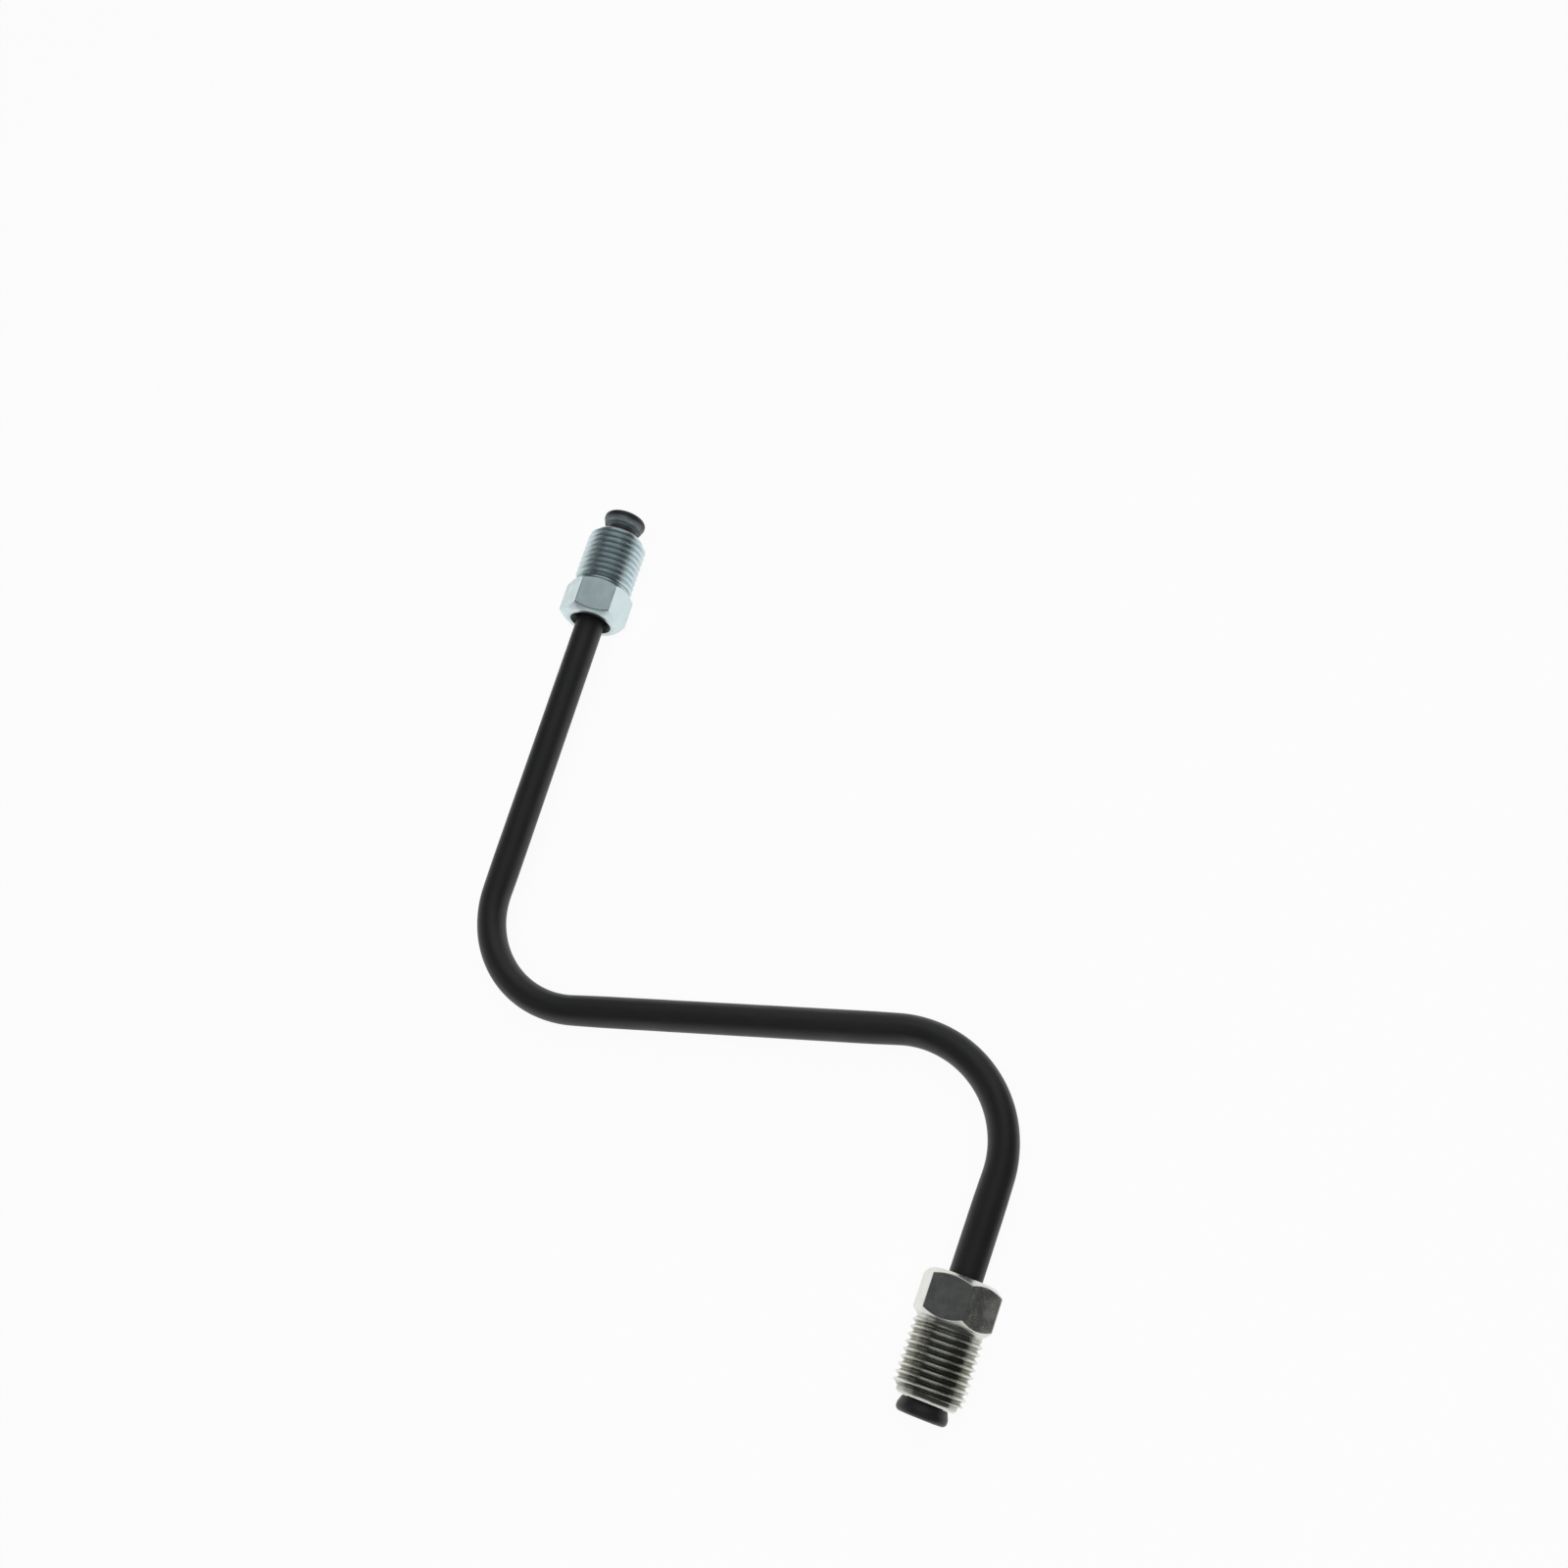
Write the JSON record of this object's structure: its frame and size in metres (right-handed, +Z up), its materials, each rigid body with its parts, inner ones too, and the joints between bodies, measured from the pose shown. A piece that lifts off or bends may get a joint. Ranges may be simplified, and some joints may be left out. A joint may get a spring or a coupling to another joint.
{
  "type": "brake line",
  "caption": "Short rigid brake line: a coated steel pipe bent into a flat Z, with a bubble flare and a loose male tube nut at each end.",
  "frame": {"origin": "on the ground under the middle of the line's outline, seen from above", "axes": "+X along the middle straight towards the lower bend, +Y towards the upper flare, +Z up from the ground that the line lies on"},
  "size_m": [0.0868, 0.14, 0.0113],
  "materials": {
    "black_coat": "satin",
    "zinc_plate": "satin"
  },
  "bodies": {
    "line": {"pipe": "black_coat"},
    "upper_tube_nut": {"upper_nut": "zinc_plate"},
    "lower_tube_nut": {"lower_nut": "zinc_plate"}
  },
  "joints": [
    {"name": "upper_nut_turn", "type": "hinge", "parent": "line", "child": "upper_tube_nut", "pos_m": [-0.03142, 0.06048, 0.00565], "axis": [0.1564, 0.9877, 0], "continuous": true},
    {"name": "lower_nut_turn", "type": "hinge", "parent": "line", "child": "lower_tube_nut", "pos_m": [0.03409, -0.06202, 0.00565], "axis": [-0.2504, -0.9681, 0], "continuous": true}
  ]
}
